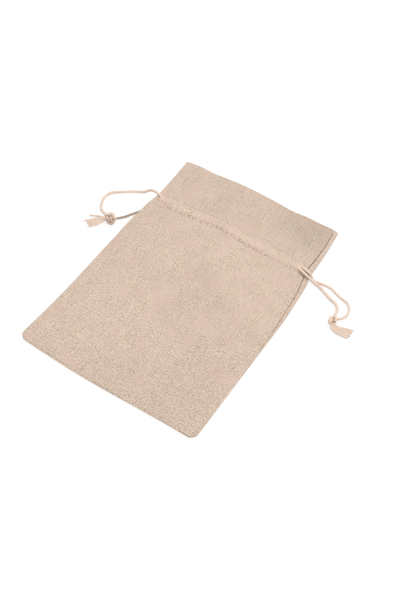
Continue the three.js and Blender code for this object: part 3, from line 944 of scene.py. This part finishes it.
def new_material(name, roughness, sheen):
    """A matt material, its shader, and the surface places in millimetres and painted shade that it reads.
    """
    material = bpy.data.materials.new(name)
    material.use_nodes = True
    tree = material.node_tree
    shader = tree.nodes["Principled BSDF"]
    fill(tree, shader, {
        "Roughness": roughness,
        "Specular IOR Level": CLOTH_SPECULAR,
        "Sheen Weight": sheen,
        "Sheen Roughness": SHEEN_ROUGHNESS,
    })
    attribute = node(tree, "ShaderNodeAttribute", attribute_name="place")
    parts = node(tree, "ShaderNodeSeparateXYZ", {0: attribute.outputs["Vector"]})
    shade = node(tree, "ShaderNodeAttribute", attribute_name="shade")
    sockets = [*parts.outputs, shade.outputs["Fac"]]
    return material, shader, [Number(tree, socket) for socket in sockets]


def finish_material(shader, colour, height, relief):
    """Give a shader its colour and the relief of a height from 0 to 1."""
    inputs = {"Strength": 1.0, "Distance": relief * MM, "Height": height.socket}
    raised = node(height.tree, "ShaderNodeBump", inputs)
    fill(height.tree, shader, {"Base Color": colour, "Normal": raised.outputs[0]})


def linen_threads(u, v):
    """Places counted in warp and weft threads, which sway a little."""
    warp = (u + noise(u, v, *WARP_SWAY_NOISE) * SWAY) / WARP_PITCH
    weft = (v + noise(u, v, *WEFT_SWAY_NOISE) * SWAY) / WEFT_PITCH
    return warp, weft


def weave_height(warp, weft):
    """Height from 0 to 1 of plain-woven threads, each over and under the next ones."""
    warp_wave = (warp * math.pi).math("SINE")
    weft_wave = (weft * math.pi).math("SINE")
    warp_over = (warp_wave * weft_wave).math("GREATER_THAN", 0.0)
    warp_round = warp_wave.math("ABSOLUTE")
    weft_round = weft_wave.math("ABSOLUTE")
    weft_top = weft_round * warp_round ** THREAD_DIP
    warp_top = warp_round * weft_round ** THREAD_DIP
    return warp_over.choose(weft_top, warp_top)


def linen_tone(u, v, warp, weft, patch):
    """Tone of uneven threads, in pairs as the reed left them, and of soft clouds over them."""
    warp_thread = warp.math("FLOOR") * THREAD_STEP
    weft_thread = weft.math("FLOOR") * THREAD_STEP
    grain = wave(u, v, *GRAIN_NOISE) * GRAIN_TONE
    pairs = (warp * math.pi).math("COSINE") * REED_TONE + (weft * math.pi).math("COSINE") * PICK_TONE
    warp_slub = wave(warp_thread, v, *WARP_SLUB_NOISE)
    weft_slub = wave(u, weft_thread, *WEFT_SLUB_NOISE)
    slub = (warp_slub + weft_slub) * SLUB_TONE
    streak = wave(u, v, *STREAK_NOISE) * STREAK_TONE
    loud = patch.spread(0.0, 1.0, 1.0, PATCH_QUIET)
    cloud = wave(u, v, *CLOUD_NOISE) * CLOUD_TONE
    return (pairs + slub + streak + grain) * loud + cloud + 1.0


def linen_material():
    """Plain-woven linen with soft patches of two colours, a few dark flecks, and painted shade and light.
    """
    material, shader, (u, v, _, shade) = new_material("linen_cloth", LINEN_ROUGHNESS, LINEN_SHEEN)
    warp, weft = linen_threads(u, v)
    height = weave_height(warp, weft)
    patch = noise(u, v, *PATCH_NOISE).spread(*PATCH_RANGE)
    tone = linen_tone(u, v, warp, weft, patch)
    # Painted shade between the threads, painted light on their tops, and the panel's own painted shade and
    # light
    depth = height.spread(0.0, THREAD_TOP, GAP_PAINTED_SHADE, TOP_PAINTED_LIGHT) * (shade * (PAINTED_SHADE_TONE - 1.0) + 1.0)
    fleck_range = (FLECK_FROM, FLECK_FROM + FLECK_EDGE, 0.0, FLECK_SHARE)
    fleck = noise(u, v, *FLECK_NOISE).spread(*fleck_range)
    cloth = patch.between(opaque(LINEN_GREEN), opaque(LINEN_PINK))
    colour = (tone * depth).of_colour(fleck.between(cloth, opaque(LINEN_FLECK)))
    finish_material(shader, colour, height * tone, WEAVE_RELIEF)
    return material


def cotton_material(name, light_colour, crease):
    """Soft twisted cotton, fine fibres along it, with painted shade between plies and where the surface
    carries it.
    """
    material, shader, (along, around, lobe, shade) = new_material(name, COTTON_ROUGHNESS, COTTON_SHEEN)
    fibres = noise(along, around, *FIBRE_NOISE)
    patches = noise(along, around, *COTTON_NOISE)
    # Painted shade between the plies, times the darker and lighter fibres
    light = lobe.spread(*PLY_PAINTED_SHADE) * fibres.spread(*FIBRE_TONE_RANGE)
    colour = light.between(opaque(COTTON_DARK), opaque(light_colour))
    # Painted shade and shadow take the colour towards a darker one
    creased = shade.between(colour, opaque(crease))
    toned = patches.spread(*NOISE_RANGE, *COTTON_TONES).of_colour(creased)
    finish_material(shader, toned, fibres, FIBRE_RELIEF)
    return material


def camera_axes():
    """The camera's directions to the right, up and backwards."""
    azimuth, elevation = math.radians(CAMERA_AZIMUTH), math.radians(CAMERA_ELEVATION)
    right = np.array((math.cos(azimuth), math.sin(azimuth), 0.0))
    level = np.array((math.sin(azimuth), -math.cos(azimuth), 0.0))
    back = level * math.cos(elevation) + np.array((0.0, 0.0, math.sin(elevation)))
    return right, np.cross(back, right), back


def make_camera():
    back = Vector(camera_axes()[2])
    camera = new_object("camera", bpy.data.cameras.new("camera"))
    camera.data.sensor_width = SENSOR
    camera.data.lens = FOCAL_PIXELS * SENSOR / IMAGE_HEIGHT
    camera.location = (Vector(CAMERA_AIM) + back * CAMERA_DISTANCE) * MM
    camera.rotation_euler = (-back).to_track_quat("-Z", "Y").to_euler()
    bpy.context.scene.camera = camera


def from_knot(name, points):
    """Places in the frame of points right of a knot's middle and up from it, at heights over the floor."""
    right, up, back = camera_axes()
    middle = np.array(KNOTS[name]["at"])
    across, above, height = np.array(points, float).T[..., None]
    nearer = (height - middle[2] - above * up[2]) / back[2]
    return middle + across * right + above * up + nearer * back


def paint_shade(places, shade):
    """Paint shade on a surface, at least this much."""
    places[:, SHADE] = np.maximum(places[:, SHADE], shade)


def lay_on_floor(path, radius):
    """Raise a cord's path where the cord would go into the floor."""
    path[:, 2] = np.maximum(path[:, 2], radius)


def paint_crease_shade(parts, paths, radii, depths):
    """Paint shade on tubes where they come close to each other's surfaces, each up to its own depth."""
    for number, (points, _, places) in enumerate(parts):
        others = np.concatenate(paths[:number] + paths[number + 1:])
        reach = np.concatenate(radii[:number] + radii[number + 1:])
        nearest = (np.linalg.norm(points[:, None] - others[None], axis=2) / reach).min(axis=1)
        paint_shade(places, depths[number] * (1 - smooth(nearest, *CREASE_REACH)))


def spread_along(path, values):
    """Values at even steps along a path, for each of its points."""
    share = np.linspace(0, 1, len(path))
    return np.interp(share, np.linspace(0, 1, len(values)), values)


def paint_lower_half_shade(name, parts):
    """Paint shade on a knot's windings below its middle, as the camera sees them."""
    up = camera_axes()[1]
    for points, _, places in parts:
        above = (points - np.array(KNOTS[name]["at"])) @ up
        paint_shade(places, SHADOWED_KNOT_SHADE * (1 - smooth(above, *SHADOWED_KNOT_ABOVE)))


def knot_windings(name):
    """Tubes of the knot's cord, wound over and under itself, with their paths and radii."""
    windings = KNOTS[name]["windings"]
    paths = [path_through(from_knot(name, points), KNOT_STEP) for _, points in windings]
    radii = [spread_along(path, radius) for path, (radius, _) in zip(paths, windings)]
    parts = [tube(path, radius, CORD_SIDES, PLIES, CORD_LAY) for path, radius in zip(paths, radii)]
    return parts, paths, radii


def tip_yarns(path, radius, rng):
    """Fine yarns that part from a lock near its end, some of them longer than it."""
    from_here = path[int(TIP_YARN_FROM * len(path)):]
    share = np.linspace(0, 1, len(from_here))[:, None]
    ahead = (from_here[-1] - from_here[-2]) / np.linalg.norm(from_here[-1] - from_here[-2])
    parts = []
    for _ in range(TIP_YARNS):
        apart = rng.uniform(-1, 1, 3) * radius * share
        yarn = from_here + apart + ahead * rng.uniform(*TIP_YARN_PAST) * share ** 2
        thick = rng.uniform(*TIP_YARN_RADIUS)
        lay_on_floor(yarn, thick)
        parts.append(tube(yarn, thick, TIP_YARN_SIDES))
    return parts


def knot_tail(name):
    """Frayed ends: soft locks side by side on the floor, with their paths and radii, and finer yarns."""
    tail = TAILS[name]
    rng = np.random.default_rng(tail["seed"])
    upper, lower = from_knot(name, tail["upper"]), from_knot(name, tail["lower"])
    locks, yarns, paths, radii = [], [], [], []
    for share, reach in zip(np.linspace(0, 1, len(tail["reach"])), tail["reach"]):
        path = path_through(upper + (lower - upper) * share, LOCK_STEP)
        path = path[:int(reach * len(path))]
        radius = spread_along(path, tail["radius"])
        lay_on_floor(path, radius)
        locks.append(tube(path, radius, LOCK_SIDES, LOCK_PLIES, LOCK_LAY))
        yarns += tip_yarns(path, radius[-1], rng)
        paths.append(path)
        radii.append(radius)
    for route in tail["apart"]:
        path = path_through(from_knot(name, route), LOCK_STEP)
        lay_on_floor(path, APART_RADIUS)
        yarns.append(tube(path, APART_RADIUS, TIP_YARN_SIDES, PLIES, CORD_LAY))
    return locks, paths, radii, yarns


def knot_shape(name):
    """A knot and its frayed ends, with painted shade in their creases and, on one knot, on its lower half.
    """
    windings, winding_paths, winding_radii = knot_windings(name)
    locks, lock_paths, lock_radii, yarns = knot_tail(name)
    depths = [KNOT_PAINTED_CREASE_SHADE] * len(windings) + [TAIL_PAINTED_CREASE_SHADE] * len(locks)
    paint_crease_shade(windings + locks, winding_paths + lock_paths, winding_radii + lock_radii, depths)
    if name == SHADOWED_KNOT:
        paint_lower_half_shade(name, windings)
    return joined(windings + locks + yarns)


def strand_path(name, seed):
    """A strand's route to its knot and its radius along it, with the sag and waver of a soft cord."""
    path = path_through(CORD_ROUTES[name], CORD_STEP)
    if name in SAGS:
        sag_at, sag_reach, sag = SAGS[name]
        path[:, 1] -= sag * bump(path[:, 0] - sag_at, sag_reach)
    travelled = np.arange(len(path)) * CORD_STEP
    for axis in range(2):
        waver = soft_noise(travelled, np.full(len(path), axis), CORD_WOBBLE_SIZE, seed)
        path[:, axis] += CORD_WOBBLE * waver
    uneven = soft_noise(travelled, np.zeros(len(path)), CORD_UNEVEN_SIZE, seed + 1)
    radius = spread_along(path, STRAND_RADII[name]) * (1 + CORD_UNEVEN * uneven)
    lay_on_floor(path, radius)
    return path, radius


def make_cords(material, shadowed_material):
    """The four free strands, with the knot that each pair ends in."""
    for name in KNOTS:
        make_piece(f"{name}_tie", material, knot_shape(name))
        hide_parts(name)
    for seed, name in enumerate(CORD_ROUTES, CORD_SEED):
        path, radius = strand_path(name, seed)
        points, faces, places = tube(path, radius, CORD_SIDES, PLIES, CORD_LAY)
        is_shadowed = name == SHADOWED_STRAND
        # The strand under the cloth carries painted shadow
        if is_shadowed:
            paint_shade(places, SHADOWED_STRAND_SHADE)
        finish = shadowed_material if is_shadowed else material
        strand = make_piece(f"{name}_strand", finish, (points, faces, places))
        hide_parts(name)
        path[0] * MM
        path * MM


def painted_shade_and_light(x, y):
    """Painted shade of the front panel's soft places, and painted light on the tunnel's ridge."""
    ridge = tunnel_ends(x) * bump(y - tunnel_line("ridge", x), RIDGE_LIGHT_WIDTH)
    places = sum(share * bump(np.hypot(x - x0, y - y0), width) for x0, y0, width, share in PAINTED_SHADE_SPOTS)
    uneven = smooth(soft_noise(x, y, RIDGE_LIGHT_SIZE, RIDGE_LIGHT_SEED), -1, 1)
    return places - ridge * (RIDGE_PAINTED_LIGHT[0] + (RIDGE_PAINTED_LIGHT[1] - RIDGE_PAINTED_LIGHT[0]) * uneven)


def make_front(material):
    """The front panel's cloth, from its left edge to the seam."""
    row = grid_rows(FRONT_ROW_STEPS)
    left = left_edge(row) + np.array(ROLL_OFFSETS)[None, :]
    right = seam_line(row) - seam_gap(row) - np.array(SEAM_OFFSETS)[None, :]
    count = int((right[:, :1] - left[:, -1:]).max() / FRONT_SPACING)
    share = np.linspace(0, 1, count + 2)[1:-1][None, :]
    x = np.concatenate([left, left[:, -1:] + (right[:, :1] - left[:, -1:]) * share, right], axis=1)
    points = front_points(x, row)
    outer, inner = sheet_faces(points, row, -1)
    # Painted shade in the stitch holes and on soft places, and painted light on the tunnel's ridge
    shade = STITCH_PAINTED_SHADE * stitch_dimples(x, row) + painted_shade_and_light(points[..., 0], points[..., 1])
    places = np.stack([points[..., 0], points[..., 1], 0 * shade, shade], axis=-1)
    return make_sheet("front_linen", outer, inner, material, places.reshape(-1, PLACE_COLUMNS))


def make_back(material):
    """The back panel's cloth, under the bag and round its right side to the seam."""
    row = grid_rows(BACK_ROW_STEPS)
    half = section("side", row) / 2
    right = right_edge(row)
    left = left_edge(row) + np.array(ROLL_OFFSETS)[None, :]
    share = np.linspace(0, 1, BACK_COLUMNS + 2)[1:][None, :]
    flat = np.concatenate([left, left[:, -1:] + (right - half - left[:, -1:]) * share], axis=1)
    curl_turn = np.linspace(0, np.pi / 2, CURL_STEPS + 1)[None, 1:]
    strip_turn = np.linspace(0, np.pi / 2, STRIP_STEPS + 1)[None, 1:]
    curl = right - half * (1 - np.sin(curl_turn))
    strip = right - (right - seam_line(row)) * (1 - np.cos(strip_turn))
    x = np.concatenate([flat, curl, strip], axis=1)
    on_front = np.arange(x.shape[1]) >= flat.shape[1] + curl.shape[1]
    points = back_points(x, row, on_front[None, :])
    outer, inner = sheet_faces(points, row, 1)
    steps = np.linalg.norm(np.diff(points, axis=1), axis=2)
    start = points[:, :1, 0]
    travelled = np.concatenate([start, start + np.cumsum(steps, axis=1)], axis=1)
    none = np.zeros(travelled.shape)
    places = np.stack([travelled, points[..., 1], none, none], axis=-1)
    return make_sheet("back_linen", inner, outer, material, places.reshape(-1, PLACE_COLUMNS))


def make_stitches(material):
    """Two rows of short stitches, one below the tunnel's ridge and one above it."""
    rng = np.random.default_rng(STITCH_SEED)
    t = np.linspace(0, 1, STITCH_STEPS)
    parts = []
    for line in (STITCH_ROW, UPPER_THREAD_ROW):
        for start in stitch_places(line):
            x = start + rng.uniform(*STITCH_LENGTH) * t
            path = front_points(x, line + STITCH_TURN * rng.uniform(-1, 1) * (2 * t - 1))
            path[:, 2] += STITCH_PROUD - (STITCH_SUNK + STITCH_PROUD) * (2 * t - 1) ** 2
            parts.append(tube(path, rng.uniform(*STITCH_RADIUS), STITCH_SIDES))
    return make_piece("tunnel_stitches", material, joined(parts))


def make_floor():
    mesh = bpy.data.meshes.new("floor")
    half = FLOOR_SIZE / 2
    corners = [(-half, -half), (half, -half), (half, half), (-half, half)]
    mesh.from_pydata([(x * MM, y * MM, -FLOOR_DROP * MM) for x, y in corners], [], [(0, 1, 2, 3)])
    material = bpy.data.materials.new("floor_white")
    material.use_nodes = True
    tree = material.node_tree
    fill(tree, tree.nodes["Principled BSDF"], {
        "Base Color": opaque(FLOOR_WHITE),
        "Emission Color": opaque(WHITE),
        "Emission Strength": FLOOR_GLOW,
        "Roughness": FLOOR_ROUGHNESS,
        "Specular IOR Level": FLOOR_SPECULAR,
    })
    mesh.materials.append(material)
    new_object("floor", mesh)


def make_light():
    scene = bpy.context.scene
    scene.world = bpy.data.worlds.new("studio")
    scene.world.use_nodes = True
    tree = scene.world.node_tree
    fill(tree, tree.nodes["Background"], {"Color": opaque(WHITE), "Strength": WORLD_STRENGTH})
    scene.view_settings.view_transform = "Standard"
    lamp = bpy.data.lights.new("key", "AREA")
    lamp.size = KEY_SIZE * MM
    lamp.energy = KEY_POWER
    key = new_object("key", lamp)
    key.location = Vector(KEY_AT) * MM
    key.rotation_euler = (-Vector(KEY_AT)).to_track_quat("-Z", "Y").to_euler()


make_camera()
make_cords(cotton_material("cotton", COTTON, COTTON_PAINTED_SHADE),
           cotton_material("cotton_painted_shadow", COTTON, COTTON_PAINTED_SHADOW))
linen = linen_material()
front = make_front(linen)
back = make_back(linen)
stitches = make_stitches(cotton_material("thread", THREAD, COTTON_PAINTED_SHADE))
for panel, panel_node in ((front, "front_panel"), (back, "back_panel")):
    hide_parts(panel_node)
make_floor()
make_light()
